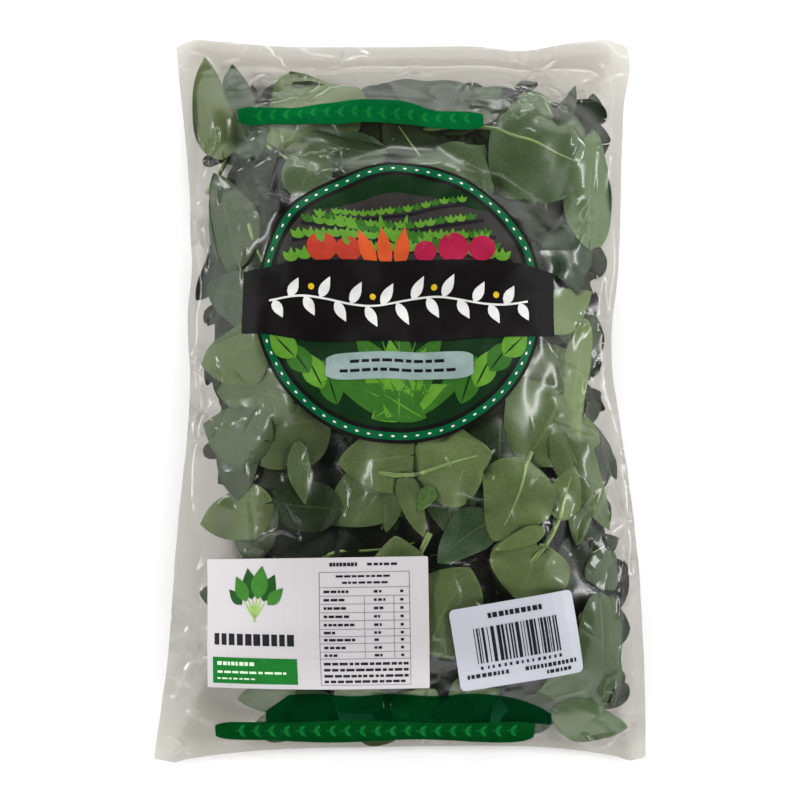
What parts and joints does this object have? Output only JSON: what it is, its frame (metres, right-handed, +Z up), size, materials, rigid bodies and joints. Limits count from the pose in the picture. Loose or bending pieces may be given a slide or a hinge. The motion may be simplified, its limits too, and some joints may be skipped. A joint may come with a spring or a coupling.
{
  "type": "bag of spinach",
  "caption": "Sealed clear film bag filled with loose spinach leaves, lying flat with its printed front up, and two white paper labels stuck to the lower front.",
  "frame": {"origin": "middle of the flat surface that the bag lies on, under the middle of its bounding box", "axes": "+Z up out of the printed front, +Y to the bag's top edge as the front is read, +X to the right"},
  "size_m": [0.2492, 0.3848, 0.0525],
  "materials": {
    "film_and_leaves": "clear glossy film over sage green leaves",
    "label_paper": "semi-gloss coated paper"
  },
  "bodies": {
    "root": {"bag": "film_and_leaves", "info_label": "label_paper", "barcode_label": "label_paper"}
  },
  "joints": []
}
